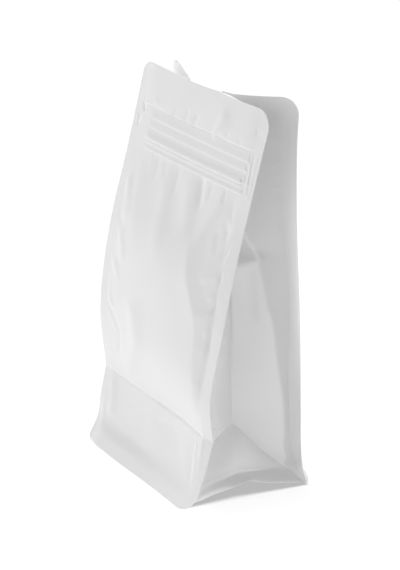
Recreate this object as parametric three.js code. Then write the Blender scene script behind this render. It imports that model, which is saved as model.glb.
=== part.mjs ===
// A flat-bottom pouch of white matte film, standing empty with its mouth pressed together, and the
// ribbed zip across its front. Millimetres, +Z up, front towards -Y, origin on the floor under the middle.

import * as THREE from "three";

// Driving dimensions of the film
const WIDTH = 135; // each broad panel, from fin edge to fin edge
const HEIGHT = 260; // nominal height of the mouth
const DEPTH = 92; // between the outer faces of the front and back skirts on the floor
const FIN = 8; // width of the weld along each upright edge
const FILM = 1; // thickness of a welded fin
const WELD_ROOT = 1.6; // thickness where a fin joins the free film
const MOUTH_ROUND = 12; // largest round corner of a broad panel at the mouth

// Heights of the folds
const CREASE = 50; // fold mark across both broad panels
const APEX = 43; // where a side's centre fold splits into two diagonals
const SILL = 7; // top of the weld between a side and the bottom

// The four upright edges: height and round of the mouth's corner, round of the floor's corner, and
// [height, place front to back] below and above the crease
const BASE = DEPTH / 2;
const EDGES = {
  frontLeft: {
    mouth: 259.5,
    mouthRound: 7,
    floorRound: 4,
    skirt: [[0, -BASE], [14, -38.2], [30, -35.4], [CREASE, -31]],
    body: [[CREASE, -31], [95, -34.3], [150, -26.4], [207, -10.8], [HEIGHT, 2.8]],
  },
  frontRight: {
    mouth: 258.4,
    mouthRound: MOUTH_ROUND,
    floorRound: 18,
    skirt: [[0, -BASE], [16, -40.5], [32, -35], [CREASE, -30]],
    body: [[CREASE, -30], [77, -32.4], [118, -24.5], [175, -11.8], [HEIGHT, 11]],
  },
  backLeft: {
    mouth: 258,
    mouthRound: MOUTH_ROUND,
    floorRound: 0.5,
    skirt: [[0, BASE], [13, 38.4], [30, 37.4], [CREASE, 36]],
    body: [[CREASE, 36], [105, 34.4], [175, 29], [HEIGHT, 21]],
  },
  backRight: {
    mouth: 264,
    mouthRound: MOUTH_ROUND,
    floorRound: 1,
    skirt: [[0, 43.4], [4.5, 43.6], [13, 39.4], [30, 37.4], [CREASE, 36.8]],
    body: [[CREASE, 36.8], [105, 35], [175, 31.8], [232, 32.4], [HEIGHT, 34.4]],
  },
};

// How far the middle of each broad panel swells past its edges: [height, swell]
const SKIRT_SWELL = [[0, 0], [9, -0.2], [17, -1.6], [30, -2.2], [CREASE, -1]]; // below the crease
const FRONT_SWELL = [[CREASE, -1], [90, 7], [135, 6.5], [180, 4], [209, 1.5], [HEIGHT, 1]];
const BACK_SWELL = [[CREASE, -1], [90, 5], [135, 4], [175, 1], [205, 0], [HEIGHT, 0]];
const SWELL_POWER = 2.5; // flat middle, steeper towards the fins

// The back panel is pressed forward onto the front one towards the mouth
const PINCH_START = 130; // height at which it begins
const PINCH_HALF = 20; // half width of the part that lies against the front
const PINCH_GAP = 2.4; // left between the outer faces there
const PINCH_DROP = 2.4; // height that the bent film loses
const DRAW_IN = 4; // how far the back corners of the mouth come in

// The centre fold of a side: [height, distance from the middle plane]
const FOLD = [[APEX, 39.6], [75, 40], [102, 37.7], [130, 34], [170, 29.5], [215, 26], [HEIGHT, 23]];
const FOLD_ROUND = { out: 0.8, along: 1.2 }; // half size of the rounded fold
const RIM_OUT = 64; // middle of a side's lower rim, from the middle plane
const TRIANGLE = [[SILL, 57], [20, 54], [32, 48.8], [APEX, 39.6]]; // middle of its triangle, likewise
const DIAGONAL_REACH = 0.95; // how near the two diagonals come to the corners
const DIAGONAL_BOW = 6; // inward bow of the front diagonal

// The long bend in the back half of a side: [height, share of the way to the weld] and [height, rise]
const BEND = [[0, 0.9], [57, 0.83], [72, 0.79], [92, 0.71], [113, 0.65], [140, 0.5], [HEIGHT, 0.5]];
const BEND_OUT = [[0, 0], [20, 1], [APEX, 2], [75, 3], [110, 3.2], [140, 2.8], [164, 0], [HEIGHT, 0]];

// The arch of the bottom's rim at a side: [share of the way from front to back, rise above the floor]
const ARCH_FRONT = [[0, 0], [0.18, 7], [0.5, 13]];
const ARCH_BACK = [[0.5, 13], [0.58, 10.9], [0.95, 1.6], [1, 0]];

// The zip: a ribbed strip on the front panel
const ZIP_LOW = 208;
const ZIP_HIGH = 235;
const ZIP_RIBS = [209.4, 212.2, 215, 222.6, 228.4, 233.6];
const ZIP_GAP = 0.3; // clear of the panel
const ZIP_BASE = 0.7; // thickness between the ribs
const RIB_HEIGHT = 1.1;
const RIB_FOOT = 1.2; // half width of a rib where it leaves the strip
const RIB_CROWN = 0.5; // half width of its top

// Fineness of the facets
const PANEL_STEPS = 16; // across a broad panel, between its fins
const HALF_STEPS = 5; // across the front half of a side
const LEVELS = [
  0, 2, 4.5, SILL, 12, 18, 25, 34, APEX, CREASE, 58, 68, 80, 95, 110, 125, 140, 155, 170, 185, 198,
  ZIP_LOW, ZIP_HIGH, 241, HEIGHT - MOUTH_ROUND, 252, 256, 258.5, HEIGHT,
];

const mix = (a, b, t) => a + (b - a) * t;
const clamp01 = (t) => Math.min(1, Math.max(0, t));
const eased = (t) => clamp01(t) ** 2 * (3 - 2 * clamp01(t));

// Smooth value at one height through [height, value] points: cubic pieces whose slope at each point
// is that of the line between its neighbours.
function through(points, h) {
  const last = points.length - 1;
  let k = 0;
  while (k < last - 1 && h > points[k + 1][0]) k += 1;
  const slope = (i) => {
    const [before, after] = [points[Math.max(i - 1, 0)], points[Math.min(i + 1, last)]];
    return (after[1] - before[1]) / (after[0] - before[0]);
  };
  const [[h0, v0], [h1, v1]] = [points[k], points[k + 1]];
  const t = clamp01((h - h0) / (h1 - h0));
  const step = h1 - h0;
  const start = v0 * (1 + 2 * t) * (1 - t) ** 2 + slope(k) * step * t * (1 - t) ** 2;
  const end = v1 * (3 - 2 * t) * t ** 2 - slope(k + 1) * step * t ** 2 * (1 - t);
  return start + end;
}

const edgePlace = (edge, h) => through(h < CREASE ? edge.skirt : edge.body, h);

// How far a round corner of that radius has drawn in, a given way into it.
const roundCut = (radius, into) => radius - Math.sqrt(radius ** 2 - Math.max(0, into) ** 2);

// Distance of an upright edge from the middle plane, round at the mouth and at the floor.
function edgeReach(edge, h) {
  const mouthCut = roundCut(edge.mouthRound, h - (HEIGHT - edge.mouthRound));
  return WIDTH / 2 - mouthCut - roundCut(edge.floorRound, edge.floorRound - h);
}

const swellAt = (body, h) => through(h < CREASE ? SKIRT_SWELL : body, h);
const swellShape = (x) => 1 - Math.min(1, Math.abs(x) / (WIDTH / 2 - FIN)) ** SWELL_POWER;

// The front panel's outer face at a distance x from the middle plane and a height h.
function frontPoint(x, h) {
  const s = clamp01(x / WIDTH + 0.5);
  const edge = mix(edgePlace(EDGES.frontLeft, h), edgePlace(EDGES.frontRight, h), s);
  const top = mix(EDGES.frontLeft.mouth, EDGES.frontRight.mouth, s) / HEIGHT;
  return new THREE.Vector3(x, edge - swellAt(FRONT_SWELL, h) * swellShape(x), h * top);
}

// How far the pressing of the mouth has taken hold at a height, and the width that it leaves the back panel.
const pinchAt = (h) => eased((h - PINCH_START) / (HEIGHT - PINCH_START));
const narrowed = (h) => 1 - (pinchAt(h) * DRAW_IN * 2) / WIDTH;

// The back panel's outer face: the same, with its middle pressed forward towards the mouth.
function backPoint(x, h) {
  const s = clamp01(x / WIDTH + 0.5);
  const pinch = pinchAt(h);
  const edge = mix(edgePlace(EDGES.backLeft, h), edgePlace(EDGES.backRight, h), s);
  const swollen = edge + swellAt(BACK_SWELL, h) * swellShape(x);
  const inner = Math.min(PINCH_HALF, Math.abs(x)) * Math.sign(x);
  const pressed = mix(swollen, frontPoint(inner, h).y + PINCH_GAP, pinch);
  const out = clamp01((Math.abs(x) - PINCH_HALF) / (WIDTH / 2 - PINCH_HALF));
  const top = mix(EDGES.backLeft.mouth, EDGES.backRight.mouth, s) / HEIGHT;
  const drop = PINCH_DROP * pinch * (1 - out);
  return new THREE.Vector3(x * narrowed(h), mix(pressed, swollen, out), h * top - drop);
}

// Middle of a side below the apex: down the triangle to the weld line, then down the weld to the rim.
function triangleReach(h) {
  return h < SILL ? mix(RIM_OUT, TRIANGLE[0][1], h / SILL) : through(TRIANGLE, h);
}

const archAt = (f) => through(f < ARCH_BACK[0][0] ? ARCH_FRONT : ARCH_BACK, f);

// Points of one side (-1 left, +1 right) from behind the front fin's tip to before the back fin's tip:
// front fin, front half, fold or triangle, back half with its bend, back fin.
function sidePoints(side, h) {
  const [frontEdge, backEdge] = side > 0
    ? [EDGES.frontRight, EDGES.backRight]
    : [EDGES.frontLeft, EDGES.backLeft];
  const frontTip = frontPoint(side * edgeReach(frontEdge, h), h);
  const backTip = backPoint(side * edgeReach(backEdge, h), h);
  frontTip.y += FILM;
  backTip.y -= FILM;

  // Where the free film leaves the fins
  const weldReach = (edge) => side * Math.min(WIDTH / 2 - FIN, edgeReach(edge, h) - WELD_ROOT);
  const front = frontPoint(weldReach(frontEdge), h);
  const back = backPoint(weldReach(backEdge), h);
  front.y += WELD_ROOT;
  back.y -= WELD_ROOT;

  // Ends of the two halves: together on the centre fold, apart below the apex
  const split = clamp01((APEX - h) / (APEX - SILL));
  const foldReach = through(FOLD, Math.max(h, APEX));
  const backPlace = (x) => backPoint(x / narrowed(h), h).y;
  const foldPlace = (frontPoint(side * foldReach, h).y + backPlace(side * foldReach)) / 2;
  const foldX = side * (foldReach + FOLD_ROUND.out);
  const frontEnd = new THREE.Vector3(foldX, foldPlace - FOLD_ROUND.along, 0);
  const backEnd = new THREE.Vector3(foldX, foldPlace + FOLD_ROUND.along, 0);
  frontEnd.lerp(front, DIAGONAL_REACH * split);
  backEnd.lerp(back, DIAGONAL_REACH * split);
  frontEnd.x -= side * DIAGONAL_BOW * Math.sin(Math.PI * split);
  const reach = h < APEX ? triangleReach(h) : foldReach;
  const middle = new THREE.Vector3(side * reach, (frontEnd.y + backEnd.y) / 2, 0);

  const points = [];
  for (let i = 0; i < HALF_STEPS; i += 1) {
    points.push(front.clone().lerp(frontEnd, i / HALF_STEPS));
  }
  const [nearFront, nearBack] = [frontEnd.clone().lerp(middle, 0.5), backEnd.clone().lerp(middle, 0.5)];
  points.push(frontEnd, nearFront, middle, nearBack, backEnd);
  const span = back.clone().sub(backEnd);
  const outward = new THREE.Vector3(span.y * side, -span.x * side, 0).normalize();
  const crest = through(BEND, h);
  for (const [share, rise] of [[crest / 2, 0.5], [crest, 1], [(1 + crest) / 2, 0.5], [1, 0]]) {
    const moved = rise * through(BEND_OUT, h);
    points.push(backEnd.clone().lerp(back, share).addScaledVector(outward, moved));
  }

  // Inside the two broad panels, and lifted over the arch of the bottom
  const lift = Math.max(0, 1 - h / APEX);
  for (const p of points) {
    p.y = Math.max(p.y, frontPoint(p.x, h).y + FILM);
    p.y = Math.min(p.y, backPlace(p.x) - FILM);
    const f = clamp01((p.y - frontTip.y) / (backTip.y - frontTip.y));
    p.z = mix(frontTip.z, backTip.z, f) + lift * archAt(f);
  }
  return [frontTip, ...points, backTip];
}

// Places across a broad panel: the left fin's tip, the free film between the two welds, the right tip.
function acrossPanel(leftEdge, rightEdge, h) {
  const [left, right] = [-edgeReach(leftEdge, h), edgeReach(rightEdge, h)];
  const free = Array.from({ length: PANEL_STEPS + 1 }, (_, i) =>
    mix(left + FIN, right - FIN, i / PANEL_STEPS));
  return [left, ...free, right];
}

// The outline at one height, anticlockwise from above, starting at the front left fin.
function section(h) {
  const front = acrossPanel(EDGES.frontLeft, EDGES.frontRight, h).map((x) => frontPoint(x, h));
  const back = acrossPanel(EDGES.backLeft, EDGES.backRight, h).map((x) => backPoint(x, h));
  return [...front, ...sidePoints(1, h), ...back.reverse(), ...sidePoints(-1, h).reverse()];
}

// A closed geometry from points and triangles.
function closedGeometry(points, triangles) {
  const geometry = new THREE.BufferGeometry();
  geometry.setFromPoints(points);
  geometry.setIndex(triangles.flat());
  geometry.computeVertexNormals();
  return geometry;
}

// Two triangles for each cell between two rows of a loft, the first row below the second.
function band(lower, upper, count) {
  const triangles = [];
  for (let i = 0; i < count; i += 1) {
    const j = (i + 1) % count;
    triangles.push([lower + i, lower + j, upper + j], [lower + i, upper + j, upper + i]);
  }
  return triangles;
}

// The pouch: its outlines lofted from floor to mouth, shut by the film edges at the mouth and by the
// arched bottom, a patch between the four lower rims.
function pouchGeometry() {
  const sections = LEVELS.map(section);
  const count = sections[0].length;
  const points = sections.flat();
  const triangles = [];
  for (let r = 0; r + 1 < LEVELS.length; r += 1) {
    triangles.push(...band(r * count, (r + 1) * count, count));
  }

  const topStart = (LEVELS.length - 1) * count;
  const outline = sections.at(-1).map((p) => new THREE.Vector2(p.x, p.y));
  for (const face of THREE.ShapeUtils.triangulateShape(outline, [])) {
    triangles.push(face.map((i) => topStart + i));
  }

  const columns = PANEL_STEPS + 3;
  const rows = count / 2 - columns + 2;
  const rim = (i, j) => {
    if (j === 0) return i;
    if (j === rows - 1) return columns + rows - 2 + (columns - 1 - i);
    if (i === columns - 1) return columns - 1 + j;
    return i === 0 ? count - j : -1;
  };
  const grid = [];
  for (let i = 0; i < columns; i += 1) {
    grid.push([]);
    for (let j = 0; j < rows; j += 1) {
      let index = rim(i, j);
      if (index < 0) {
        const [left, right] = [points[rim(0, j)], points[rim(columns - 1, j)]];
        const [first, last] = [points[0].x, points[columns - 1].x];
        index = points.push(left.clone().lerp(right, (points[i].x - first) / (last - first))) - 1;
      }
      grid[i].push(index);
    }
  }
  for (let i = 0; i + 1 < columns; i += 1) {
    for (let j = 0; j + 1 < rows; j += 1) {
      const [a, b, c, d] = [grid[i][j], grid[i + 1][j], grid[i + 1][j + 1], grid[i][j + 1]];
      triangles.push([a, d, c], [a, c, b]);
    }
  }
  return closedGeometry(points, triangles);
}

// Outline of the zip across its height: [height, lift off the panel], ribs on a thin strip.
function zipProfile() {
  const base = ZIP_GAP + ZIP_BASE;
  const ribs = ZIP_RIBS.flatMap((h) => [
    [h - RIB_FOOT, base],
    [h - RIB_CROWN, base + RIB_HEIGHT],
    [h + RIB_CROWN, base + RIB_HEIGHT],
    [h + RIB_FOOT, base],
  ]);
  return [[ZIP_LOW, ZIP_GAP], [ZIP_LOW, base], ...ribs, [ZIP_HIGH, base], [ZIP_HIGH, ZIP_GAP]];
}

// The zip: its outline carried across the front panel from right to left, along the panel's own curve.
function zipGeometry() {
  const profile = zipProfile();
  const count = profile.length;
  const stations = acrossPanel(EDGES.frontLeft, EDGES.frontRight, ZIP_LOW).slice(1, -1).reverse();
  const points = stations.flatMap((x) => {
    const low = frontPoint(x, ZIP_LOW);
    const high = frontPoint(x, ZIP_HIGH);
    const outward = new THREE.Vector3(0, low.z - high.z, high.y - low.y).normalize();
    return profile.map(([h, lift]) =>
      low.clone().lerp(high, (h - ZIP_LOW) / (ZIP_HIGH - ZIP_LOW)).addScaledVector(outward, lift));
  });
  const triangles = [];
  for (let s = 0; s + 1 < stations.length; s += 1) {
    triangles.push(...band(s * count, (s + 1) * count, count));
  }
  const outline = profile.map(([h, lift]) => new THREE.Vector2(lift, h));
  const faces = THREE.ShapeUtils.triangulateShape(outline, []);
  const lastStart = (stations.length - 1) * count;
  for (const [a, b, c] of faces) {
    triangles.push([c, b, a], [lastStart + a, lastStart + b, lastStart + c]);
  }
  return closedGeometry(points, triangles);
}

const film = new THREE.MeshStandardMaterial({ color: 0xf1f1f0, roughness: 0.55, metalness: 0 });
const zipPlastic = new THREE.MeshStandardMaterial({ color: 0xf4f4f3, roughness: 0.45, metalness: 0 });

const pouch = new THREE.Mesh(pouchGeometry(), film);
pouch.name = "pouch";
const zip = new THREE.Mesh(zipGeometry(), zipPlastic);
zip.name = "zip_strip";

const part = new THREE.Group();
part.add(pouch, zip);

export default part;
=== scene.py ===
# %% [markdown]
# # A flat-bottom pouch of white film
#
# The object is an empty coffee-type pouch: two broad panels, two folded sides and a folded bottom, all of
# one matte white laminate, welded along their edges, with a ribbed zip across the front. This lesson takes
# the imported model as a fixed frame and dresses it: each sheet of film becomes a thin closed surface worked
# out with numpy, and the creases, puckers and drapes are added to those surfaces as relief. Until a mesh is
# made, lengths are in millimetres: x runs across the pouch, y from front to back, and h up along the film.

# %% Load the frame
import math

import bpy
import numpy as np
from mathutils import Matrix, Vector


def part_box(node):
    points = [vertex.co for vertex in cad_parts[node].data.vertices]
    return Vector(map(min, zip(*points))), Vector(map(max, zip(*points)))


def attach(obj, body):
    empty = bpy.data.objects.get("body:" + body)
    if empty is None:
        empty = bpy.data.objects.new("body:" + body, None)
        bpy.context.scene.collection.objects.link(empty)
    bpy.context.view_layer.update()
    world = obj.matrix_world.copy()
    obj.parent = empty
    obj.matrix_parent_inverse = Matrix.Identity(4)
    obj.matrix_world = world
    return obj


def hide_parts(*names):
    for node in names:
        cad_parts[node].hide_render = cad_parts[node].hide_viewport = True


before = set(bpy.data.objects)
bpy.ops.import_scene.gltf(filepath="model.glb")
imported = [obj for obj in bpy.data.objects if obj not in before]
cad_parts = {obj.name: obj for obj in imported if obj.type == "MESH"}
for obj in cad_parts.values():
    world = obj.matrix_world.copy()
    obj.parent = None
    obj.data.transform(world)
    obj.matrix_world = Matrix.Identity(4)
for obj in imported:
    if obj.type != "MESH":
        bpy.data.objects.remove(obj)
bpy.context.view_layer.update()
MM = 0.001
low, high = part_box("pouch")
WIDTH = (high.x - low.x) / MM
DEPTH = (high.y - low.y) / MM
print(f"nodes {sorted(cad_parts)}, pouch {WIDTH:.1f} mm wide and {DEPTH:.1f} mm deep")

# %% [markdown]
# ## The camera
#
# The picture was taken from the right of the front, looking down a little, with a long lens. A camera could
# be aimed with a constraint; here its place is worked out from two angles and a distance, because then it
# stands still and needs nothing else. The small shift puts the pouch where it stands in the 400 by 570 frame.

# %% Camera at the picture's angle
FRAME_SIZE = (400, 570)
OPTICAL_CENTRE = (197.0, 279.2)
FOCAL_PIXELS = 2064.0
AZIMUTH = math.radians(58.3)
ELEVATION = math.radians(22.6)
DISTANCE = 1.33
AIM = np.array([0.0, 0.0, 0.13])
SENSOR = 36.0

towards_camera = np.array([
    math.sin(AZIMUTH) * math.cos(ELEVATION),
    -math.cos(AZIMUTH) * math.cos(ELEVATION),
    math.sin(ELEVATION),
])
camera_data = bpy.data.cameras.new("camera")
camera_data.sensor_width = SENSOR
camera_data.lens = SENSOR * FOCAL_PIXELS / max(FRAME_SIZE)
camera_data.shift_x = (FRAME_SIZE[0] / 2 - OPTICAL_CENTRE[0]) / max(FRAME_SIZE)
camera_data.shift_y = (OPTICAL_CENTRE[1] - FRAME_SIZE[1] / 2) / max(FRAME_SIZE)
camera = bpy.data.objects.new("camera", camera_data)
camera.location = AIM + towards_camera * DISTANCE
camera.rotation_euler = (math.pi / 2 - ELEVATION, 0, AZIMUTH)
bpy.context.scene.collection.objects.link(camera)
bpy.context.scene.camera = camera
print(f"lens {camera_data.lens:.1f} mm at {tuple(round(v, 3) for v in camera.location)}")

# %% [markdown]
# ## The lines that the film follows
#
# Film bends easily one way and hardly at all two ways at once, so a pouch is mostly made of its lines: four
# welded edges, a crease across each broad panel and a fold down each side. Each line is a few heights with a
# place, and a smooth curve goes through them. Blender's own curves could carry them, but a formula can be
# asked for a whole array of heights at once.

# %% Smooth steps, bells and lines
def mix(a, b, t):
    """From a to b in a straight line as t goes from 0 to 1."""
    return a + (b - a) * t


def eased(t):
    """A smooth step from 0 to 1: three times t squared less twice t cubed, flat at both ends."""
    t = np.clip(t, 0, 1)
    return t * t * (3 - 2 * t)


def between(value, start, end):
    """The same step from one value to another: 0 at start and 1 at end, which may also be the lower one."""
    return eased((value - start) / (end - start))


def bell(value, middle, half):
    """A bell curve: e to the power of minus the squared distance from its middle, counted in half widths."""
    return np.exp(-(((value - middle) / half) ** 2))


def through(points, h):
    """A smooth curve through (height, value) points: a cubic between each two neighbours, whose slope at a
    point is that of the straight line between the points on either side of it."""
    heights, values = np.array(points, float).T
    last = len(heights) - 1
    order = np.arange(last + 1)
    after, before = np.minimum(order + 1, last), np.maximum(order - 1, 0)
    slopes = (values[after] - values[before]) / (heights[after] - heights[before])
    k = np.clip(np.searchsorted(heights, h, side="right") - 1, 0, last - 1)
    step = heights[k + 1] - heights[k]
    t = np.clip((h - heights[k]) / step, 0, 1)
    start = values[k] * (1 + 2 * t) * (1 - t) ** 2 + slopes[k] * step * t * (1 - t) ** 2
    end = values[k + 1] * (3 - 2 * t) * t ** 2 - slopes[k + 1] * step * t ** 2 * (1 - t)
    return start + end


print("a smooth step in quarters:", between(np.arange(5), 0, 4).tolist())

# %% The four welded edges
HEIGHT = 260.0
CREASE = 50.0
BASE = DEPTH / 2

# Each welded edge: height and round of its corner at the mouth, round of its corner on the floor, and
# (height, place from front to back) below and above the crease
EDGES = {
    "front_left": {
        "mouth": 259.5,
        "mouth_round": 7,
        "floor_round": 4,
        "skirt": [(0, -BASE), (14, -38.2), (30, -35.4), (CREASE, -31)],
        "body": [(CREASE, -31), (95, -34.3), (150, -26.4), (207, -10.8), (HEIGHT, 2.8)],
    },
    "front_right": {
        "mouth": 258.4,
        "mouth_round": 12,
        "floor_round": 18,
        "skirt": [(0, -BASE), (16, -40.5), (32, -35), (CREASE, -30)],
        "body": [(CREASE, -30), (77, -32.4), (118, -24.5), (175, -11.8), (HEIGHT, 11)],
    },
    "back_left": {
        "mouth": 260,
        "mouth_round": 9,
        "floor_round": 0.5,
        "skirt": [(0, BASE), (13, 38.4), (30, 37.4), (CREASE, 36)],
        "body": [(CREASE, 36), (105, 34.4), (175, 29), (HEIGHT, 21)],
    },
    "back_right": {
        "mouth": 264,
        "mouth_round": 12,
        "floor_round": 1,
        "skirt": [(0, 43.4), (4.5, 43.6), (13, 39.4), (30, 37.4), (CREASE, 36.8)],
        "body": [(CREASE, 36.8), (105, 35), (175, 31.8), (232, 32.4), (HEIGHT, 34.4)],
    },
}


def edge_place(edge, h):
    """Place of an edge from front to back: one curve below the crease and another above it."""
    return np.where(h < CREASE, through(edge["skirt"], h), through(edge["body"], h))


def round_cut(radius, into):
    """How far a round corner of that radius has drawn in, a given way into it."""
    return radius - np.sqrt(np.maximum(0, radius ** 2 - np.maximum(0, into) ** 2))


def edge_reach(edge, h):
    """Half the width of the pouch at an edge, less the rounds at the mouth and on the floor."""
    mouth_cut = round_cut(edge["mouth_round"], h - (HEIGHT - edge["mouth_round"]))
    return WIDTH / 2 - mouth_cut - round_cut(edge["floor_round"], edge["floor_round"] - h)


for name, edge in EDGES.items():
    print(f"{name}: foot at {edge['skirt'][0][1]:.1f} mm, mouth at {edge['body'][-1][1]:.1f} mm")

# %% [markdown]
# ## The two broad panels
#
# A broad panel is a sheet between two of those edges that the air inside swells outwards, flat in its middle
# and steeper near the welds. The back one is pressed onto the front one at the mouth. A balloon of cloth
# physics could find such a shape, but it would not find the same one each time; a formula does.

# %% Swell of a broad panel
FIN = 8.0
WELD = WIDTH / 2 - FIN
SKIRT_SWELL = [(0, 0), (9, -0.2), (17, -1.6), (30, -2.2), (CREASE, -1)]
FRONT_SWELL = [(CREASE, -1), (75, 0.9), (105, 4), (130, 5.3), (150, 5.2), (180, 3.8), (209, 2), (HEIGHT, 1.6)]
BACK_SWELL = [(CREASE, -1), (90, 5), (135, 4), (175, 1), (205, 0), (HEIGHT, 0)]
SWELL_POWER = 2.5
FIN_LEAN = [(0, 0), (CREASE, 0), (85, -0.1), (110, 0.1), (150, 0.4), (180, 0.45), (209, 0.35), (HEIGHT, 0.25)]
LEFT_LEAN = 0.4


def over_fin(distance):
    """One on the free film, falling evenly to nothing over the fin, from the distance across."""
    return np.clip((WIDTH / 2 - distance) / FIN, 0, 1)


def swell(body, x, h):
    """Swell at a height, one curve below the crease and one above. Most of it goes as one less the 2.5th
    power of the distance from the middle, so that it is nothing at the welds, and a share that changes with
    the height falls evenly over the fins, which lean with the film beside them, less on the left."""
    amount = np.where(h < CREASE, through(SKIRT_SWELL, h), through(body, h))
    dome = 1 - np.minimum(1, np.abs(x) / WELD) ** SWELL_POWER
    lean = over_fin(np.abs(x))
    return amount * mix(dome, lean, through(FIN_LEAN, h) * np.where(x > 0, 1, LEFT_LEAN))


def across(left, right, x, h):
    """The straight line between two edges at a height: its place from front to back, and how much of the
    height is left after the two corners of the mouth are set at theirs."""
    s = np.clip(x / WIDTH + 0.5, 0, 1)
    place = mix(edge_place(EDGES[left], h), edge_place(EDGES[right], h), s)
    return place, mix(EDGES[left]["mouth"], EDGES[right]["mouth"], s) / HEIGHT


def points(x, y, z):
    """Three arrays of places, stretched to one shape, as one array of points."""
    return np.stack(np.broadcast_arrays(x, y, z), -1)


fullest = max(FRONT_SWELL, key=lambda point: point[1])
print(f"the front panel swells most, {fullest[1]} mm, {fullest[0]} mm up")

# %% Front face
FIN_TURN = [(0, 0), (20, 0.6), (CREASE, 2), (75, 1.5), (100, 0.4), (130, 0), (HEIGHT, 0)]
TURN_ACROSS = (20, 59)
CREST_PLACE = 24.0
CREST_HALF = 17.0
CREST_RISE = 1.5
CREST_START = 225.0


def towards_weld(x):
    """The share of the right fin's turn: it grows towards the weld and falls to nothing at the tip."""
    return between(x, *TURN_ACROSS) * over_fin(x)


def front_face(x, h):
    """Front panel: the line between its edges, moved forwards by the swell, and at the knee of the right fin
    by the fin's turn. The edge of the mouth has a low crest right of its middle."""
    place, top = across("front_left", "front_right", x, h)
    turn = through(FIN_TURN, h) * towards_weld(x)
    crest = CREST_RISE * between(h, CREST_START, HEIGHT) * bell(x, CREST_PLACE, CREST_HALF)
    return points(x, place - swell(FRONT_SWELL, x, h) - turn, h * top + crest)


middle = front_face(np.zeros(3), np.array([0, CREASE, HEIGHT]))
print("front panel's middle at floor, crease and mouth:", np.round(middle[:, 1], 1).tolist())

# %% Back face
BACK_TURN = [(0, 0), (14, 0), (30, 2.4), (CREASE, 3), (110, 3), (160, 2.6), (205, 1.5), (235, 0), (HEIGHT, 0)]
PINCH_START = 130.0
PINCH_HALF = 20.0
PINCH_GAP = 2.4
PINCH_DROP = 4.5
DRAW_IN = 4.0


def pinched(h):
    """How far the mouth's pinch has taken hold at a height, from 0 to 1."""
    return between(h, PINCH_START, HEIGHT)


def narrowed(h):
    """Width of the pinched back panel at a height as a share of its flat width."""
    return 1 - pinched(h) * 2 * DRAW_IN / WIDTH


def back_face(x, h):
    """Back panel: the line between its edges, moved backwards by the swell and forwards by the turn of the
    right fin, then eased onto the front panel above the start of the pinch, fully in the middle and less and
    less towards the edges."""
    place, top = across("back_left", "back_right", x, h)
    pinch = pinched(h)
    swollen = place + swell(BACK_SWELL, x, h) - through(BACK_TURN, h) * towards_weld(x)
    front = front_face(np.clip(x, -PINCH_HALF, PINCH_HALF), h)[..., 1]
    out = np.clip((np.abs(x) - PINCH_HALF) / (WIDTH / 2 - PINCH_HALF), 0, 1)
    y = mix(mix(swollen, front + PINCH_GAP, pinch), swollen, out)
    return points(x * narrowed(h), y, h * top - PINCH_DROP * pinch * (1 - out))


middle = back_face(np.zeros(3), np.array([0, CREASE, HEIGHT]))
print("back panel's middle at floor, crease and mouth:", np.round(middle[:, 1], 1).tolist())

# %% [markdown]
# ## Relief
#
# What makes film look like film is its small folds: drapes that hang from the stiff zip, puckers where a
# flat weld meets swollen film, a sharp mark where it was creased flat. Each is a ridge or a hollow along a
# short line. Sculpting would do it by hand; here a fold is two end points, a width and a height, so the list
# of folds can be read, and moved, one by one.

# %% A fold along a line
FADE_SHARE = 0.25
PUCKER_ROOT = 0.5
PUCKER_LENGTHS = (9, 15)
PUCKER_SLANTS = (0.5, 1.0)
PUCKER_WIDTHS = (2.2, 3.6)
PUCKER_DEPTHS = (0.6, 1.2)
PUCKER_GAPS = (10, 17)


def fold(x, h, start, end, width, height):
    """A ridge, or with a negative height a hollow, along the line from start to end: the height times a bell
    curve of the distance from the line, fading out smoothly over the last part of each end."""
    (x0, h0), (x1, h1) = start, end
    length = math.hypot(x1 - x0, h1 - h0)
    along = ((x - x0) * (x1 - x0) + (h - h0) * (h1 - h0)) / length
    aside = ((x - x0) * (h1 - h0) - (h - h0) * (x1 - x0)) / length
    half = (width + FADE_SHARE * length) / 2
    ends = between(along, -half, half) * between(along, length + half, length - half)
    return height * ends * bell(aside, 0, width)


def folds(x, h, listed):
    """The sum of a list of folds, each (start, end, width, height)."""
    return sum(fold(x, h, *one) for one in listed)


def puckers(x, h, side, seed, bottom, top, depth):
    """Short slanting hollows that start at a weld and run down into the free film, spaced and sized unevenly
    from a seeded draw: between them the film stands up in small pillows."""
    draw = np.random.default_rng(seed)
    total = np.zeros(np.broadcast(x, h).shape)
    place = bottom
    while place < top:
        length = draw.uniform(*PUCKER_LENGTHS)
        weld_end = (side * (WELD + PUCKER_ROOT), place)
        free_end = (side * (WELD - length), place - length * draw.uniform(*PUCKER_SLANTS))
        width = draw.uniform(*PUCKER_WIDTHS)
        total += fold(x, h, weld_end, free_end, width, -depth * draw.uniform(*PUCKER_DEPTHS))
        place += draw.uniform(*PUCKER_GAPS)
    return total


print("a fold 3 mm wide is", np.round(fold(np.array([0, 3, 6.0]), 0, (0, -9), (0, 9), 3, 1), 2).tolist())

# %% [markdown]
# ## The front panel's relief
#
# On the real pouch the drapes hang from the lower edge of the zip and fade out before the middle; a pillow
# stands next to the left weld just above the crease; the crease itself shows as a sharp line on the right;
# and along the floor the film steps out over the welded bottom. A simulation would put its folds where it
# likes, so each of these is listed at the place where the real one is.

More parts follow.
